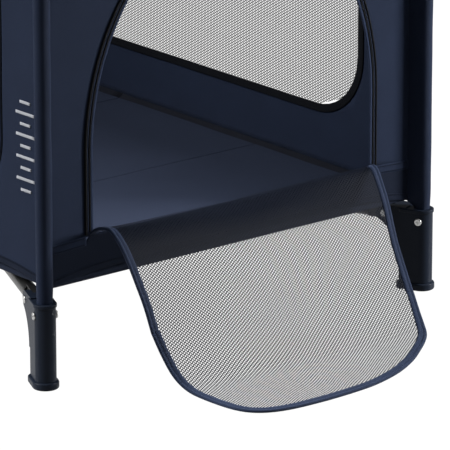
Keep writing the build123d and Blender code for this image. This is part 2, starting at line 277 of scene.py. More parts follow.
def make_materials():
    navy = rgb(0.0125, 0.0190, 0.0395)
    black = rgb(0.0028, 0.0032, 0.0044)
    return {
        "wall": woven("wall_cloth", scaled(navy, 0.86)),
        "band": woven("band_cloth", scaled(navy, 0.46), pitch=0.0011),
        "sleeve": woven("sleeve_cloth", scaled(navy, 0.80), roughness=0.6, gloss=0.04),
        "binding": woven("binding_tape", scaled(navy, 1.05), pitch=0.0008, sheen=0.12, roughness=0.6),
        # edge: the wall's navy cloth drawn lighter, a painted highlight along the turned folds of the
        # door's edge and the windows' edging
        "edge": woven("fold_with_painted_highlight", scaled(navy, 1.15), pitch=0.0008, sheen=0.1),
        "trim": woven("window_tape", black, pitch=0.0008, sheen=0.02),
        "pad": woven("rail_pad_cloth", scaled(navy, 0.95), pitch=0.0012, sheen=0.08),
        "mattress": woven("mattress_cloth", rgb(0.0118, 0.0158, 0.0290), pitch=0.0014, patchy=0.06),
        "floor": woven("floor_cloth", rgb(0.006, 0.007, 0.011), pitch=0.001, sheen=0.02),
        "thread": woven("stitch_thread", scaled(navy, 0.22), pitch=0.0005, sheen=0.02),
        "label": woven("label_patch", rgb(0.40, 0.41, 0.44), pitch=0.0007, sheen=0.1, patchy=0.05),
        "webbing": woven("pull_webbing", rgb(0.30, 0.025, 0.03), pitch=0.0016, relief=0.0003),
        "door_mesh": netting("door_mesh", rgb(0.0034, 0.0046, 0.0086), 0.00334, 0.29, pull=1.22),
        "window_mesh": netting("window_mesh", rgb(0.0034, 0.0042, 0.0068), 0.0037, 0.275),
        "boot": moulded("boot_plastic", rgb(0.0084, 0.0118, 0.0200), 0.36),
        "bracket": moulded("bracket_plastic", rgb(0.0045, 0.0055, 0.0080), 0.42),
        "button": moulded("button_plastic", rgb(0.30, 0.31, 0.33), 0.45),
        "hub": moulded("hub_plastic", rgb(0.006, 0.006, 0.007), 0.45),
        "slider": moulded("slider_enamel", rgb(0.006, 0.006, 0.007), 0.3),
        "coil": zip_coil_material(black),
        "steel": coated_steel(),
        "zinc": plated(),
    }


# ---- mesh helpers
def make_object(name, verts, faces, material, uvs=None, smooth=True):
    mesh = bpy.data.meshes.new(name)
    mesh.from_pydata([tuple(v) for v in verts], [], faces)
    if uvs is not None:
        layer = mesh.uv_layers.new(name="metres")
        for loop in mesh.loops:
            layer.data[loop.index].uv = uvs[loop.vertex_index]
    mesh.materials.append(material)
    for polygon in mesh.polygons:
        polygon.use_smooth = smooth
    mesh.update()
    obj = bpy.data.objects.new(name, mesh)
    bpy.context.scene.collection.objects.link(obj)
    return obj


def grid(name, rows, material, closed=False, uvs=None):
    """A sheet from equal rows of points; closed joins the last point of each row to its first."""
    count = len(rows[0])
    verts = [p for row in rows for p in row]
    faces = []
    for r in range(len(rows) - 1):
        for c in range(count if closed else count - 1):
            n = (c + 1) % count
            faces.append((r * count + c, r * count + n, (r + 1) * count + n, (r + 1) * count + c))
    flat = [uv for row in uvs for uv in row] if uvs else None
    return make_object(name, verts, faces, material, flat)


def lattice(row_count, column_count, place):
    """Rows of points and of their UVs; place(r, k) gives one point and its (u, v)."""
    cells = [[place(r, k) for k in range(column_count)] for r in range(row_count)]
    rows = [[point for point, _ in row] for row in cells]
    return rows, [[uv for _, uv in row] for row in cells]


def thicken(obj, thickness, offset=0.0):
    """Give a sheet its thickness, as plain mesh."""
    solid = obj.modifiers.new("thickness", "SOLIDIFY")
    solid.thickness = thickness
    solid.offset = offset
    solid.use_even_offset = False
    graph = bpy.context.evaluated_depsgraph_get()
    mesh = bpy.data.meshes.new_from_object(obj.evaluated_get(graph), depsgraph=graph)
    obj.modifiers.clear()
    obj.data = mesh
    return obj


def joined(name, pieces):
    """One object from several that share a material."""
    target = pieces[0]
    data = bmesh.new()
    for piece in pieces:
        data.from_mesh(piece.data)
    data.to_mesh(target.data)
    data.free()
    for piece in pieces[1:]:
        bpy.data.objects.remove(piece)
    target.name = name
    target.data.name = name
    for polygon in target.data.polygons:
        polygon.use_smooth = True
    return target


def lerp(a, b, t):
    return a + (b - a) * t


def smoothstep(t):
    t = max(0.0, min(1.0, t))
    return t * t * (3 - 2 * t)


def resample(points, count):
    """Points evenly spaced along a polyline, eased by a Catmull-Rom curve through its points."""
    pts = [Vector(p) for p in points]
    dense = []
    for k in range(len(pts) - 1):
        p0 = pts[max(k - 1, 0)]
        p1, p2 = pts[k], pts[k + 1]
        p3 = pts[min(k + 2, len(pts) - 1)]
        for j in range(12):
            t = j / 12
            a = 2 * p1
            b = p2 - p0
            c = 2 * p0 - 5 * p1 + 4 * p2 - p3
            d = -p0 + 3 * p1 - 3 * p2 + p3
            dense.append((a + b * t + c * t * t + d * t ** 3) * 0.5)
    dense.append(pts[-1])
    return even(dense, count)


def even(points, count):
    """Points at equal distances along a polyline."""
    lengths = [0.0]
    for a, b in zip(points, points[1:]):
        lengths.append(lengths[-1] + (b - a).length)
    out = []
    k = 0
    for i in range(count):
        want = lengths[-1] * i / (count - 1)
        while k < len(points) - 2 and lengths[k + 1] < want:
            k += 1
        span = max(lengths[k + 1] - lengths[k], 1e-9)
        out.append(points[k].lerp(points[k + 1], min(1.0, (want - lengths[k]) / span)))
    return out


def sweep(name, path, sides, profile, material, closed=False):
    """A closed profile of (side, out) offsets carried along a path; side runs along sides[i]."""
    count = len(path)
    rows = []
    uvs = []
    run = 0.0
    for i, point in enumerate(path):
        ahead = path[(i + 1) % count] if closed else path[min(i + 1, count - 1)]
        behind = path[i - 1] if closed else path[max(i - 1, 0)]
        tangent = (ahead - behind).normalized()
        side = (sides[i] - tangent * sides[i].dot(tangent)).normalized()
        out = tangent.cross(side)
        rows.append([point + side * a + out * b for a, b in profile])
        uvs.append([(run, j * 0.001) for j in range(len(profile))])
        run += (ahead - point).length
    if closed:
        rows.append(rows[0])
        uvs.append(uvs[0])
    obj = grid(name, rows, material, closed=True, uvs=uvs)
    if closed:
        weld(obj)
    else:
        cap_ends(obj)
    return obj


def edited(obj, change):
    """Run change on the object's mesh, and turn all its faces outwards."""
    data = bmesh.new()
    data.from_mesh(obj.data)
    change(data)
    bmesh.ops.recalc_face_normals(data, faces=data.faces)
    data.to_mesh(obj.data)
    data.free()


def weld(obj, distance=1e-6):
    edited(obj, lambda data: bmesh.ops.remove_doubles(data, verts=data.verts, dist=distance))


def cap_ends(obj):
    def fill(data):
        bmesh.ops.holes_fill(data, edges=[e for e in data.edges if e.is_boundary], sides=0)

    edited(obj, fill)


def flat_tape(width, thick, points=10):
    """Rounded flat profile, width along the first axis."""
    out = []
    for k in range(points * 2):
        a = math.pi * k / points
        c, s = math.cos(a), math.sin(a)
        side = width / 2 * math.copysign(abs(c) ** 0.45, c)
        out.append((side, thick / 2 * math.copysign(abs(s) ** 0.7, s)))
    return out


def circle(radius, points=8, out=0.0):
    angles = [2 * math.pi * k / points for k in range(points)]
    return [(radius * math.cos(a), out + radius * math.sin(a)) for a in angles]


def cloth_wave(p, size, height, seed=0.0):
    """A gentle unevenness of hung cloth."""
    return height * noise.noise(Vector((p[0] / size + seed, p[1] / size, p[2] / size)))


# ---- riding on the frame
WALLS = {
    "front": ("leg_front_left", (1, 0, 0), (-WALL_X, 0, 0), FOLD_KEEP_X),
    "back": ("leg_back_left", (1, 0, 0), (-WALL_X, 0, 0), FOLD_KEEP_X),
    "left": ("leg_front_left", (0, 1, 0), (0, -WALL_Y, 0), FOLD_KEEP_Y),
    "right": ("leg_front_right", (0, 1, 0), (0, -WALL_Y, 0), FOLD_KEEP_Y),
}


def hang(obj, wall, material_slot):
    """A wall's piece rides on its leg."""
    body, axis, anchor, keep = WALLS[wall]
    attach(obj, body)
    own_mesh(obj)
    return obj


class Wall:
    """A wall's own coordinates: a runs along it, z up, depth outwards from the yard."""

    def __init__(self, name):
        self.name = name
        self.half = WALL_X if name in ("front", "back") else WALL_Y

    def point(self, a, z, depth=0.0):
        if self.name == "front":
            return Vector((a, -WALL_Y - depth, z))
        if self.name == "back":
            return Vector((a, WALL_Y + depth, z))
        if self.name == "left":
            return Vector((-WALL_X - depth, a, z))
        return Vector((WALL_X + depth, a, z))

    def hem(self, a):
        fall = max(0.0, abs(a) - (self.half - HEM_CURVE)) / HEM_CURVE
        return HEM_LOW + HEM_RISE * (1 - fall * fall)

    def seam(self, a):
        """Height of the seam between the lower band and the panel above it."""
        if self.name != "front":
            return self.hem(a) + 0.006
        away = (self.half - abs(a)) / (self.half - DOOR_HALF)
        sag = 0.0018 * max(0.0, 1 - (a / DOOR_HALF) ** 2)
        return lerp(SEAM_LEG, SEAM_DOOR, max(0.0, min(1.0, away))) - sag

    def band_top(self, a):
        """Upper edge of the band: the seam's fold, and the sill between the door's feet."""
        share = smoothstep((DOOR_HALF + 0.004 - abs(a)) / 0.008) if self.name == "front" else 0.0
        return self.seam(a) + lerp(0.004, SILL - SEAM_DOOR, share)

    def top(self, a):
        """Upper edge: sewn round the rail, higher at its bare ends and cut out under the latch."""
        cut = WALL_TOP - LATCH_LOW + 0.0010
        bare = 0.0035 * smoothstep((abs(a) - (self.half - 0.060)) / 0.012)
        return WALL_TOP + bare - cut * smoothstep((LATCH_HALF + 0.004 - abs(a)) / 0.004)


# ---- wall fabric
def wall_depth(wall, a, z):
    """Cloth stands out at the top, where it is sewn to the rail cover, and waves slightly."""
    lift = 0.009 * smoothstep((z - (WALL_TOP - 0.05)) / 0.05) * smoothstep((abs(a) - 0.05) / 0.02)
    seed = {"front": 0.0, "back": 7.3, "left": 3.1, "right": 5.7}[wall.name]
    calm = min(1.0, (wall.half - abs(a)) / 0.03)
    return lift + cloth_wave((a, z, 0), 0.11, 0.0010, seed) * max(0.0, calm)


def ring_panel(wall, name, inner, outer, material, rings):
    """Panel cloth between an opening's edge and the panel's edge, given as equal lists of (a, z)."""
    def place(r, k):
        a = lerp(inner[k][0], outer[k][0], r / rings)
        z = lerp(inner[k][1], outer[k][1], r / rings)
        return wall.point(a, z, wall_depth(wall, a, z)), (a, z)

    rows, uvs = lattice(rings + 1, len(inner), place)
    return grid(name, rows, material, uvs=uvs)


def door_edge(margin=0.0, arch_points=64, side_points=10, foot=SILL):
    """The door's edge from the left foot over the arch to the right foot, as (a, z)."""
    half = DOOR_HALF - margin
    left = [(-half, lerp(foot, DOOR_SPRING, k / side_points)) for k in range(side_points)]
    arch = []
    for k in range(arch_points + 1):
        angle = math.pi * (1 - k / arch_points)
        arch.append((half * math.cos(angle), DOOR_SPRING + (DOOR_RISE - margin) * math.sin(angle)))
    return left + arch + [(-a, z) for a, z in reversed(left)]


def front_outer(wall, inner, foot):
    """For each point of the door's edge, the matching point on the panel's outer edge."""
    half = wall.half
    height = WALL_TOP - DOOR_SPRING
    low = wall.seam(half)
    out = []
    for a, z in inner:
        if z < DOOR_SPRING - 1e-6:
            share = (z - foot) / (DOOR_SPRING - foot)
            out.append((math.copysign(half, a), lerp(low, DOOR_SPRING, share)))
            continue
        dx = a / DOOR_HALF
        dz = (z - DOOR_SPRING) / DOOR_RISE
        reach = min(half / max(abs(dx), 1e-6), height / max(dz, 1e-6))
        out.append((dx * reach, DOOR_SPRING + dz * reach))
    out = square_corner(out, half, WALL_TOP)
    return [(a, min(z, wall.top(a))) for a, z in out]


def square_corner(points, half, top):
    """Move the points nearest the panel's upper corners onto them."""
    for corner in ((-half, top), (half, top)):
        gaps = [abs(a - corner[0]) + abs(z - corner[1]) for a, z in points]
        points[gaps.index(min(gaps))] = corner
    return points


def window_loop(half, low, top, radius, per_corner=10, per_side=14):
    """A rounded rectangle as (a, z), counterclockwise from the lower left."""
    out = []
    centres = [(half - radius, low + radius, -90), (half - radius, top - radius, 0),
               (-half + radius, top - radius, 90), (-half + radius, low + radius, 180)]
    for k, (ca, cz, start) in enumerate(centres):
        arc = []
        for j in range(per_corner + 1):
            t = math.radians(start + 90 * j / per_corner)
            arc.append((ca + radius * math.cos(t), cz + radius * math.sin(t)))
        out += arc
        na, nz, nstart = centres[(k + 1) % 4]
        t = math.radians(nstart)
        following = (na + radius * math.cos(t), nz + radius * math.sin(t))
        for j in range(1, per_side):
            t = j / per_side
            out.append((lerp(arc[-1][0], following[0], t), lerp(arc[-1][1], following[1], t)))
    return out


def window_outer(wall, loop, half, low, top, radius):
    """Match each point of the window's edge with one on the panel's edge."""
    out = []
    for a, z in loop:
        middle = (low + top) / 2
        edge_a = abs(a) > half - radius + 1e-6
        edge_z = abs(z - middle) > (top - low) / 2 - radius + 1e-6
        if edge_a and edge_z:
            ca = math.copysign(half - radius, a)
            cz = math.copysign((top - low) / 2 - radius, z - middle) + middle
            turn = math.atan2(abs(z - cz), abs(a - ca)) / (math.pi / 2)
            reach = lerp(wall.half, half - radius, max(0.0, turn * 2 - 1))
            pa = math.copysign(reach, a)
            share = 1.0 if turn >= 0.5 else turn * 2
            corner_z = wall.top(pa) if z > middle else wall.hem(pa)
            pz = lerp(cz, corner_z, share)
        elif edge_a:
            pa = math.copysign(wall.half, a)
            pz = z
        else:
            pa = a
            pz = wall.top(a) if z > middle else wall.hem(a)
        out.append((pa, pz))
    return out


def band(wall, material):
    """The lower band of the front wall, from the hem to the seam and the sill."""
    steps_up = 10
    steps_along = 148

    def place(r, k):
        t = r / steps_up
        a = lerp(-wall.half, wall.half, k / steps_along)
        z = lerp(wall.hem(a), wall.band_top(a), t)
        calm = max(0.0, min(1.0, (wall.half - abs(a)) / 0.03))
        depth = 0.0004 + cloth_wave((a, z, 0), 0.09, 0.0012, 2.0) * (1 - 0.6 * t) * calm
        return wall.point(a, z, depth), (a, z)

    rows, uvs = lattice(steps_up + 1, steps_along + 1, place)
    return thicken(grid(f"band_{wall.name}", rows, material, uvs=uvs), BAND_THICK)


def wall_strip(wall, name, height, width, proud, material, a_from=None, a_to=None, count=72):
    """A raised strip of cloth along the wall; height(a) gives its lower edge."""
    a_from = -wall.half if a_from is None else a_from
    a_to = wall.half if a_to is None else a_to
    path = []
    for k in range(count + 1):
        a = lerp(a_from, a_to, k / count)
        z = height(a) + width / 2
        path.append(wall.point(a, z, proud + wall_depth(wall, a, z)))
    sides = [Vector((0, 0, 1))] * len(path)
    return sweep(name, path, sides, flat_tape(width, 0.0016), material)


def stitch_row(wall, height, low, proud, a_from, a_to):
    """Middles and directions of a row of thread dashes along the wall."""
    rows = []
    count = int((a_to - a_from) / STITCH_PITCH)
    for k in range(count):
        a = a_from + STITCH_PITCH * (k + 0.5)
        z = height(a) + low
        middle = wall.point(a, z, proud + wall_depth(wall, a, z))
        next_a = a + 0.001
        ahead = wall.point(next_a, height(next_a) + low, proud + wall_depth(wall, next_a, z))
        rows.append((middle, (ahead - middle).normalized()))
    return rows


def stitches(name, rows, material, out):
    """Small rounded dashes, each a six-sided spindle, standing out along out."""
    verts = []
    faces = []
    half = STITCH_LENGTH / 2
    for middle, along in rows:
        side = along.cross(out).normalized()
        base = len(verts)
        for share, size in ((-1.0, 0.45), (-0.6, 1.0), (0.6, 1.0), (1.0, 0.45)):
            for k in range(6):
                a = math.pi * k / 3
                spoke = side * math.cos(a) + out * math.sin(a)
                verts.append(middle + along * half * share + spoke * STITCH_R * size)
        for ring in range(3):
            for k in range(6):
                n = (k + 1) % 6
                faces.append((base + ring * 6 + k, base + ring * 6 + n,
                              base + ring * 6 + 6 + n, base + ring * 6 + 6 + k))
        faces.append(tuple(base + k for k in range(5, -1, -1)))
        faces.append(tuple(base + 18 + k for k in range(6)))
    return make_object(name, verts, faces, material)


def outward(wall):
    return (wall.point(0, 0, 1) - wall.point(0, 0, 0)).normalized()


def hem_seam(wall, m):
    """Turned hem with its stitch row, on the outside of the wall."""
    half = wall.half - 0.001
    name = f"hem_fold_{wall.name}"
    fold = wall_strip(wall, name, wall.hem, HEM_WIDTH, 0.0008, m["band"], count=120)
    rows = stitch_row(wall, wall.hem, 0.0078, 0.0017, -half, half)
    thread = stitches(f"hem_stitching_{wall.name}", rows, m["thread"], outward(wall))
    for piece in (fold, thread):
        hang(piece, wall.name, "wall_fabric")


def door_seams(wall, m):
    """The band's twice-stitched seam, from each leg to the foot of the door."""
    half = wall.half - 0.001
    for side, start, end in (("left", -half, -DOOR_HALF - 0.003), ("right", DOOR_HALF + 0.003, half)):
        name = f"seam_fold_{side}"
        fold = wall_strip(wall, name, wall.seam, SEAM_FOLD, 0.0010, m["wall"], start, end, 20)
        rows = stitch_row(wall, wall.seam, 0.0022, 0.0020, start, end)
        rows += stitch_row(wall, wall.seam, SEAM_FOLD - 0.0022, 0.0020, start, end)
        thread = stitches(f"seam_stitching_{side}", rows, m["thread"], outward(wall))
        for piece in (fold, thread):
            hang(piece, wall.name, "wall_fabric")


def front_wall(m):
    wall = Wall("front")
    foot = SILL - 0.002
    inner = door_edge(DOOR_EDGE, foot=foot)
    outer = front_outer(wall, inner, foot)
    panel = ring_panel(wall, "end_panel_front", inner, outer, m["wall"], 12)
    panel = thicken(panel, PANEL_THICK)
    lower = band(wall, m["band"])
    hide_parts("wall_front")
    hang(panel, "front", "wall_fabric")
    hang(lower, "front", "wall_fabric")
    hem_seam(wall, m)
    door_seams(wall, m)
    zip_round_door(wall, m)


def zip_round_door(wall, m):
    """Tape, two coil halves, their seam and the turned inner edge round the door's arch."""
    coil = circle(0.0013, 8, 0.0005)
    edge = [wall.point(a, z, 0.0012) for a, z in door_edge(0.0, arch_points=120, side_points=18)]
    middle = wall.point(0, DOOR_SPRING, 0)
    sides = []
    for p in edge:
        away = p - middle
        sides.append(Vector((away.x, 0, max(away.z, 0.0))))
    lines = [
        ("zip_tape", flat_tape(0.0104, 0.0012), "trim", 0.0),
        ("zip_coil_outer", coil, "coil", 0.0030),
        ("zip_coil_inner", coil, "coil", -0.0026),
        ("zip_seam", flat_tape(0.0012, 0.0020), "binding", 0.0001),
        # The turned inner edge is drawn in the lighter edge cloth, a painted highlight along the fold.
        ("door_edge_fold", flat_tape(0.0040, 0.0022), "edge", -0.0060),
    ]
    for name, profile, key, shift in lines:
        piece = sweep(name, edge, sides, [(a + shift, b) for a, b in profile], m[key])
        hang(piece, "front", "zip")


def windowed_wall(name, m):
    """Panel cloth with a rounded mesh window, bound on the inside and edged on the outside."""
    wall = Wall(name)
    half = WINDOW_BACK if name == "back" else WINDOW_END
    loop = window_loop(half, WINDOW_LOW, WINDOW_TOP, WINDOW_R)
    outer = window_outer(wall, loop, half, WINDOW_LOW, WINDOW_TOP, WINDOW_R)
    closed_loop, closed_outer = loop + loop[:1], outer + outer[:1]
    panel = ring_panel(wall, f"side_panel_{name}", closed_loop, closed_outer, m["wall"], 8)
    weld(panel)
    panel = thicken(panel, PANEL_THICK)
    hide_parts("wall_" + name)
    net = window_net(wall, half, m["window_mesh"])
    middle = wall.point(0, (WINDOW_LOW + WINDOW_TOP) / 2, 0)
    pieces = [(panel, "wall_fabric"), (net, "mesh")]
    for title, profile, shift, depth, key in (
        ("window_binding", flat_tape(BINDING, 0.0018), 0.0035, -0.0012, "trim"),
        # The outside edging is drawn in the lighter edge cloth, a painted highlight along it.
        ("window_edge", flat_tape(0.0062, 0.0024), 0.0026, 0.0014, "edge"),
        ("window_groove", flat_tape(0.0014, 0.0010), 0.0070, 0.0010, "trim"),
    ):
        edge = [wall.point(a, z, depth + wall_depth(wall, a, z)) for a, z in loop]
        sides = [p - middle for p in edge]
        profile = [(a + shift, b) for a, b in profile]
        tape = sweep(f"{title}_{name}", edge, sides, profile, m[key], closed=True)
        pieces.append((tape, "wall_fabric"))
    for piece, slot in pieces:
        hang(piece, name, slot)
    hem_seam(wall, m)


def window_net(wall, half, material):
    """Mesh filling the window, eased slightly inwards."""
    count_a, count_z = (28, 24) if wall.name == "back" else (56, 24)

    def place(r, k):
        z = lerp(WINDOW_LOW, WINDOW_TOP, r / count_z)
        inset = 0.0
        for edge in (z - WINDOW_LOW, WINDOW_TOP - z):
            if edge < WINDOW_R:
                inset = WINDOW_R - math.sqrt(max(0.0, WINDOW_R ** 2 - (WINDOW_R - edge) ** 2))
        a = lerp(-half + inset, half - inset, k / count_a)
        belly = 0.001 * math.sin(math.pi * k / count_a) * math.sin(math.pi * r / count_z)
        return wall.point(a, z, wall_depth(wall, a, z) - 0.0006 - belly), (a, z)

    rows, uvs = lattice(count_z + 1, count_a + 1, place)
    return grid(f"window_mesh_{wall.name}", rows, material, uvs=uvs)


def label_dashes(m):
    """A plain column of pale bars up the left panel's front edge, long and short in turn."""
    wall = Wall("left")
    middle = -0.555
    half_length = 0.0185
    lowest = 0.240
    step = 0.0142
    sides = [Vector((0, 0, 1))] * 9
    parts = []
    for k in range(9):
        path = []
        for j in range(9):
            a = middle + lerp(-half_length, half_length, j / 8) * (1.0 if k % 2 else 0.55)
            z = lowest + step * k
            path.append(wall.point(a, z, 0.0012 + wall_depth(wall, a, z)))
        parts.append(sweep(f"bar_{k}", path, sides, flat_tape(0.0038, 0.0007), m["label"]))
    hang(joined("label_bars", parts), "left", "wall_fabric")


# ---- leg sleeves
def sleeve_section(wall_corner, axis, radius, share):
    """Round about the leg with a tail towards the walls' corner; (x, y) offsets from the axis."""
    tail = Vector((wall_corner[0] - axis.x, wall_corner[1] - axis.y))
    inward = tail.normalized()
    across = Vector((-inward.y, inward.x))
    tip = max(lerp(radius, tail.length, share), radius + 0.0002)
    start = math.acos(min(1.0, (radius - TAIL_HALF) / tip))
    out = []
    for k in range(31):
        a = lerp(start, 2 * math.pi - start, k / 30)
        out.append(inward * radius * math.cos(a) + across * radius * math.sin(a))
    for s in (-1, 0, 1):
        out.append(inward * (tip + TAIL_HALF * (1 - abs(s))) + across * TAIL_HALF * s)
    return out


def leg_sleeve(name, m):
    """Fabric sleeve sewn round the leg, narrowing into the boot's collar."""
    sx, sy = CORNERS[name]
    axis = LEG[name]
    corner = (sx * (WALL_X - 0.001), sy * (WALL_Y - 0.001))
    low = BOOT_TOP - 0.0040
    high = BRACKET_LOW + 0.004
    rows = []
    uvs = []
    for r in range(65):
        z = low + (high - low) * (r / 64) ** 1.35
        radius = LEG_R + lerp(0.0003, SLEEVE_EASE, smoothstep((z - low) / 0.03))
        share = smoothstep((z - low - 0.003) / 0.013)
        section = sleeve_section(corner, axis, radius, share)
        row = []
        for offset in section:
            p = Vector((axis.x + offset.x, axis.y + offset.y, z))
            outwards = Vector((offset.x, offset.y, 0)).normalized()
            row.append(p + outwards * cloth_wave(p, 0.05, 0.0006, 1.0))
        rows.append(row)
        uvs.append([(k * 0.002, z) for k in range(len(section))])
    sleeve = grid("leg_sleeve_" + name, rows, m["sleeve"], closed=True, uvs=uvs)
    weld(sleeve, 1e-7)
    thicken(sleeve, SLEEVE_THICK, -1.0)
    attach(sleeve, "leg_" + name)


# ---- door flap
# The flap's two long edges as it hangs over the sill and out along the floor, to where they
# meet; the first part of each ends on the line where the flap bends.
LEFT_FALL = [(-0.2335, -0.5990, 0.1815), (-0.2345, -0.608, 0.1880), (-0.235, -0.619, 0.1935),
             (-0.235, -0.631, 0.1965), (-0.2345, -0.643, 0.1960), (-0.234, -0.659, 0.1840),
             (-0.231, -0.672, 0.1630), (-0.227, -0.684, 0.1360), (-0.222, -0.694, 0.1080),
             (-0.217, -0.703, 0.0740)]
LEFT_FLOOR = [(-0.217, -0.703, 0.0740), (-0.211, -0.714, 0.0480), (-0.204, -0.728, 0.0230),
              (-0.198, -0.748, 0.0085), (-0.194, -0.780, 0.0040), (-0.189, -0.830, 0.0040),
              (-0.172, -0.857, 0.0040), (-0.138, -0.871, 0.0040), (-0.085, -0.875, 0.0040),
              (-0.040, -0.874, 0.0040)]
RIGHT_FALL = [(0.2335, -0.5990, 0.1825), (0.235, -0.607, 0.1790), (0.235, -0.619, 0.1590),
              (0.234, -0.633, 0.1330), (0.231, -0.650, 0.0960), (0.225, -0.675, 0.0620),
              (0.217, -0.700, 0.0360)]
RIGHT_FLOOR = [(0.217, -0.700, 0.0360), (0.208, -0.722, 0.0180), (0.198, -0.742, 0.0080),
               (0.184, -0.763, 0.0042), (0.164, -0.783, 0.0040), (0.138, -0.804, 0.0040),
               (0.100, -0.831, 0.0040), (0.055, -0.854, 0.0040), (0.005, -0.869, 0.0040),
               (-0.040, -0.874, 0.0040)]


def flap_rows(left, right, along, across, runs=None):
    """Rows of points between two edges; the middle of the flap sags a little between them."""
    left_points = resample(left, along + 1)
    right_points = resample(right, along + 1)
    rows = []
    uvs = []
    runs = list(runs) if runs else [0.0] * (across + 1)
    for k in range(along + 1):
        a, b = left_points[k], right_points[k]
        row = []
        uv = []
        for j in range(across + 1):
            t = j / across
            p = a.lerp(b, t)
            wave = cloth_wave(p, 0.07, 0.0035, 4.0) * math.sin(math.pi * t)
            ease = min(1.0, (p - a).length / 0.05, (b - p).length / 0.05)
            p.z = max(0.0022, p.z + wave * ease * min(1.0, max(0.0, -(p.y + 0.589)) / 0.02))
            if rows:
                runs[j] += math.hypot(p.y - rows[-1][j].y, p.z - rows[-1][j].z)
            row.append(p)
            uv.append((p.x, runs[j]))
        rows.append(row)
        uvs.append(uv)
    return rows, uvs, runs


def binding_profile():
    """Folded tape seen end on: a rolled outer edge, a stitched groove and a flat inner part."""
    top = [(-0.0015, 0.0), (-0.0010, 0.0016), (0.0008, 0.0022), (0.0026, 0.0017), (0.0034, 0.0008),
           (0.0044, 0.0015), (0.0070, 0.0017), (0.0095, 0.0013), (0.0108, 0.0003)]
    return top + [(a, -b * 0.85) for a, b in reversed(top[1:-1])]


def flap_binding(name, edges, m):
    """Tape along the given edges, as one piece; each edge is (points, points to lean towards)."""
    parts = []
    for k, (path, towards) in enumerate(edges):
        sides = [b - a for a, b in zip(path, towards)]
        parts.append(sweep(f"{name}_{k}", path, sides, binding_profile(), m["binding"]))
    return joined(name, parts)


def door_flap(m):
    along_upper, along_lower, across = 34, 44, 48
    upper_rows, upper_uvs, runs = flap_rows(LEFT_FALL, RIGHT_FALL, along_upper, across)
    lower_rows, lower_uvs, _ = flap_rows(LEFT_FLOOR, RIGHT_FLOOR, along_lower, across, runs)
    upper = grid("door_mesh_upper", upper_rows, m["door_mesh"], uvs=upper_uvs)
    lower = grid("door_mesh_lower", lower_rows, m["door_mesh"], uvs=lower_uvs)
    left = resample(LEFT_FALL, 60)
    right = resample(RIGHT_FALL, 60)
    upper_tape = flap_binding("door_binding_upper", [(left, right), (right, left)], m)
    left = resample(LEFT_FLOOR, 80)
    right = resample(RIGHT_FLOOR, 80)
    loop = left + list(reversed(right))[1:]
    middle = Vector((-0.01, -0.76, 0.02))
    lower_tape = flap_binding("door_binding_lower", [(loop, [middle] * len(loop))], m)
    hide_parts("door_flap_upper")
    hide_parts("door_flap_lower")
    for piece, body, slot in ((upper, "door_upper", "mesh"), (upper_tape, "door_upper", "wall_fabric"),
                              (lower, "door_lower", "mesh"), (lower_tape, "door_lower", "wall_fabric")):
        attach(piece, body)
        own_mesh(piece)


# ---- floor cloth and mattress
def floor_cloth(m):
    """The floor's underside, in four quarters that swing up with the base tubes."""
    reach_x = WALL_X - 0.0022
    reach_y = WALL_Y - 0.0022
    top = MAT_LOW - 0.0008
    turn_up = 0.042
    rise = HEM_LOW + HEM_RISE + 0.003 - top
    for name, (sx, sy) in CORNERS.items():

        def place(r, k):
            x = sx * reach_x * (1 - (1 - k / 30) ** 1.5)
            y = sy * reach_y * (1 - (1 - r / 36) ** 1.5)
            near = min(reach_x - abs(x), reach_y - abs(y))
            lift = rise * (1 - min(1.0, near / turn_up)) ** 1.25
            return Vector((x, y, top + lift + cloth_wave((x, y, 0), 0.06, 0.0004, 9.0))), (x, y)

        rows, uvs = lattice(37, 31, place)
        quarter = thicken(grid("floor_quarter_" + name, rows, m["floor"], uvs=uvs), FLOOR_THICK)
        if name == "front_left":
            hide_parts("floor_cloth")
        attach(quarter, "base_" + name)
        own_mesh(quarter)


def pad_height(mid, half, x, y, outer, side):
    """Height of a pad's face: full at the folds, drawn in to the seam at the mattress's own edge."""
    to_side = half.x - abs(x - mid.x)
    to_end = half.y - abs(y - mid.y)
    fold = min(1.0, max(to_end, 0.0) / 0.0012) ** 0.5 if not outer(y) else 1.0
    edge = min(to_side, to_end) if outer(y) else to_side
    crown = min(1.0, max(edge, 0.0) / 0.005) ** 0.5
    if side < 0:
        reach = min(1.0, max(edge, 0.0) / 0.045)
        crown = min(crown, 0.25 + 0.75 * reach)
    swell = cloth_wave((x * 3, y * 3, 0), 0.35, 0.0005, 6.0)
    return mid.z + side * half.z * (0.2 + 0.76 * crown * (0.88 + 0.12 * fold)) + swell * crown


def spread_points(low, high, count):
    """Places from low to high, closer together towards both ends."""
    turns = [math.cos(math.pi * k / count) for k in range(count + 1)]
    return [lerp(low, high, 0.5 - 0.5 * math.copysign(abs(c) ** 0.8, c)) for c in turns]


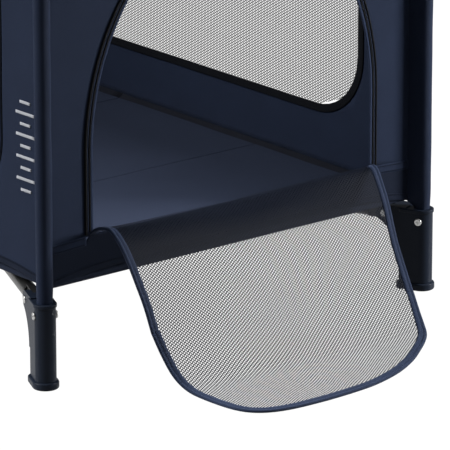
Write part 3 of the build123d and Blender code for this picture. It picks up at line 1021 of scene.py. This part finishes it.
def mattress_pad(k, m):
    """One padded panel of the mattress, flush with its neighbours at the folds."""
    low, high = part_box(f"mattress_panel_{k}")
    low.x, high.x = -PAD_REACH_X, PAD_REACH_X
    low.y = -PAD_REACH_Y if k == 1 else low.y
    high.y = PAD_REACH_Y if k == 4 else high.y
    mid = (low + high) / 2
    half = (high - low) / 2

    def outer(y):
        return (k == 1 and y < mid.y) or (k == 4 and y > mid.y)

    xs = spread_points(low.x, high.x, 44)
    ys = spread_points(low.y, high.y, 36)
    data = bmesh.new()
    faces_of = []
    for side in (1, -1):
        made = []
        for y in ys:
            heights = [pad_height(mid, half, x, y, outer, side) for x in xs]
            made.append([data.verts.new((x, y, z)) for x, z in zip(xs, heights)])
        faces_of.append(made)
        for a, b in zip(made, made[1:]):
            for i in range(len(xs) - 1):
                quad = [a[i], a[i + 1], b[i + 1], b[i]]
                data.faces.new(quad if side > 0 else quad[::-1])
    rims = [[[row[n] for row in made] for made in faces_of] for n in (0, -1)]
    rims += [[made[n] for made in faces_of] for n in (0, -1)]
    for upper, under in rims:
        for n in range(len(upper) - 1):
            data.faces.new((upper[n], upper[n + 1], under[n + 1], under[n]))
    bmesh.ops.recalc_face_normals(data, faces=data.faces)
    mesh = bpy.data.meshes.new(f"mattress_pad_{k}")
    data.to_mesh(mesh)
    data.free()
    mesh.materials.append(m["mattress"])
    for polygon in mesh.polygons:
        polygon.use_smooth = True
    pad = bpy.data.objects.new(f"mattress_pad_{k}", mesh)
    bpy.context.scene.collection.objects.link(pad)
    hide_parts(f"mattress_panel_{k}")
    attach(pad, f"mattress_{k}")
    mattress_piping(k, mid, half, m)


def mattress_piping(k, mid, half, m):
    """Piping along the panel's outside edges."""
    end = mid.y + half.y if k == 4 else mid.y - half.y
    x_edge = half.x - PIPING_R
    y_near = mid.y - half.y + 0.001
    y_far = mid.y + half.y - 0.001
    if k in (1, 4):
        y_in, y_out = (y_far, end + PIPING_R) if k == 1 else (y_near, end - PIPING_R)
        corner = 0.008 if k == 4 else -0.008
        x_end = x_edge - 0.008
        path = [Vector((-x_edge, lerp(y_in, y_out - corner, n / 14), mid.z)) for n in range(15)]
        path += [Vector((lerp(-x_end, x_end, n / 24), y_out, mid.z)) for n in range(25)]
        path += [Vector((x_edge, lerp(y_out - corner, y_in, n / 14), mid.z)) for n in range(15)]
        runs = [path]
    else:
        ys = [lerp(y_near, y_far, n / 14) for n in range(15)]
        runs = [[Vector((x, y, mid.z)) for y in ys] for x in (-x_edge, x_edge)]
    profile = circle(PIPING_R)
    parts = [sweep(f"piping_{k}_{n}", run, [p - mid for p in run], profile, m["binding"])
             for n, run in enumerate(runs)]
    piping = joined(f"mattress_piping_{k}", parts)
    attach(piping, f"mattress_{k}")


# ---- padded rails
def rail_cover(node, m):
    """Padded sleeve round a rail half, gathered at both ends, with a sewn seam underneath."""
    low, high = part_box(node)
    mid = (low + high) / 2
    along_x = (high.x - low.x) > (high.y - low.y)
    start, end = (low.x, high.x) if along_x else (low.y, high.y)
    start += RAIL_BARE
    end -= RAIL_BARE
    count = max(24, int((end - start) / 0.008))
    around = 28

    def place(r, k):
        t = r / count
        s = lerp(start, end, t)
        from_end = min(t, 1 - t) * (end - start)
        gather = lerp(0.72, 1.0, smoothstep(from_end / 0.022))
        a = 2 * math.pi * k / around
        pinch = 1 - 0.10 * math.exp(-((a - 1.5 * math.pi) / 0.22) ** 2)
        spot = Vector((s * 34, math.cos(a) * 1.2, math.sin(a) * 1.2 + mid.x))
        size = RAIL_PAD_R * gather * pinch * (1 + 0.05 * noise.noise(spot))
        across, up = size * math.cos(a), size * math.sin(a)
        point = (s, mid.y + across, mid.z + up) if along_x else (mid.x + across, s, mid.z + up)
        return Vector(point), (s, a * RAIL_PAD_R)

    rows, uvs = lattice(count + 1, around, place)
    cover = grid(node.replace("rail", "rail_pad", 1), rows, m["pad"], closed=True, uvs=uvs)
    for end_row in (0, count):
        close_sleeve(cover, rows[end_row], mid, along_x)
    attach(cover, node)


def close_sleeve(cover, ring, mid, along_x):
    """Draw the sleeve's end in to the tube."""
    want = {tuple(round(c, 6) for c in p) for p in ring}

    def draw_in(data):
        edges = [e for e in data.edges if e.is_boundary
                 and all(tuple(round(c, 6) for c in v.co) in want for v in e.verts)]
        made = bmesh.ops.extrude_edge_only(data, edges=edges)["geom"]
        for v in [g for g in made if isinstance(g, bmesh.types.BMVert)]:
            line = Vector((v.co.x, mid.y, mid.z)) if along_x else Vector((mid.x, v.co.y, mid.z))
            v.co = line + (v.co - line).normalized() * PAD_END_R
        for face in data.faces:
            face.smooth = True

    edited(cover, draw_in)


# ---- CAD nodes that stay
def paint_frame(m):
    """Give every CAD node that stays its finished material."""
    rules = {
        "leg_tube": "steel", "base_tube": "steel", "rail_": "steel", "boot": "boot",
        "corner_bracket": "bracket", "latch_housing": "bracket", "latch_button": "button",
        "leg_fasteners": "zinc", "latch_pins": "zinc", "latch_spring": "zinc", "hub_pins": "zinc",
        "hub_strap": "webbing", "zip_slider": "slider",
    }
    for node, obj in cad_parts.items():
        key = next((k for prefix, k in rules.items() if node.startswith(prefix)), "hub")
        obj.data.materials.clear()
        obj.data.materials.append(m[key])


# ---- stage
def studio():
    floor = Shader("studio_floor")
    cloud = floor.noise(3.0, 2.0)
    base = floor.mix(cloud, rgb(0.03, 0.03, 0.03), rgb(0.04, 0.04, 0.04))
    floor.set(Base_Color=base, Roughness=0.16, Specular_IOR_Level=0.5, Emission_Color=rgb(1, 1, 1),
              Emission_Strength=1.0)
    size = 60.0
    corners = [(-size, -size, 0), (size, -size, 0), (size, size, 0), (-size, size, 0)]
    plane = make_object("studio_floor", corners, [(0, 1, 2, 3)], floor.material, smooth=False)
    plane.visible_diffuse = False
    world = bpy.data.worlds.new("studio")
    world.use_nodes = True
    world.node_tree.nodes["Background"].inputs["Color"].default_value = (1, 1, 1, 1)
    world.node_tree.nodes["Background"].inputs["Strength"].default_value = 0.14
    bpy.context.scene.world = world
    above = Vector((0, 0, 3))
    up = Vector((0, 0, 1))
    lamp("side_sun", "SUN", above, Vector((-1.5, 1.15, 1.25)), energy=5.2, angle=math.radians(30))
    lamp("top_sun", "SUN", above, Vector((-0.2, 0.1, 1.6)), energy=1.4, angle=math.radians(70))
    key = Vector((1.7, -1.7, 0.9))
    lamp("key", "AREA", key, key - Vector((0.0, -0.6, 0.35)), energy=100.0, size=0.6)
    # A soft-edged pool of light straight down through the open top.
    lamp("inside", "SPOT", Vector((-0.22, -0.46, 1.6)), up, energy=150.0,
         spot_size=math.radians(36), spot_blend=1.0, shadow_soft_size=0.12)
    # Light that the pale room returns from inside the walls.
    lamp("inside_fill", "POINT", Vector((-0.1, 0.0, 0.62)), up, energy=1.6, shadow_soft_size=0.15)
    bpy.context.scene.view_settings.view_transform = "Standard"
    bpy.context.scene.view_settings.look = "None"


def lamp(name, kind, place, away, **settings):
    """A light that shines from the side that away points to."""
    data = bpy.data.lights.new(name, kind)
    for key, value in settings.items():
        setattr(data, key, value)
    obj = bpy.data.objects.new(name, data)
    obj.location = place
    obj.rotation_euler = away.to_track_quat("Z", "Y").to_euler()
    bpy.context.scene.collection.objects.link(obj)


def camera():
    data = bpy.data.cameras.new("camera")
    data.lens = 389.4
    data.sensor_width = 36.0
    data.clip_end = 200.0
    obj = bpy.data.objects.new("camera", data)
    obj.location = (-3.7808, -5.1643, 2.0023)
    obj.rotation_euler = (math.radians(90 - 17.38), 0, math.radians(-39.52))
    bpy.context.scene.collection.objects.link(obj)
    bpy.context.scene.camera = obj


# ---- everything
camera()
studio()
materials = make_materials()
paint_frame(materials)
front_wall(materials)
for wall_name in ("left", "right", "back"):
    windowed_wall(wall_name, materials)
label_dashes(materials)
for leg in CORNERS:
    leg_sleeve(leg, materials)
door_flap(materials)
floor_cloth(materials)
for number in (1, 2, 3, 4):
    mattress_pad(number, materials)
for rail in [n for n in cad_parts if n.startswith("rail_")]:
    rail_cover(rail, materials)
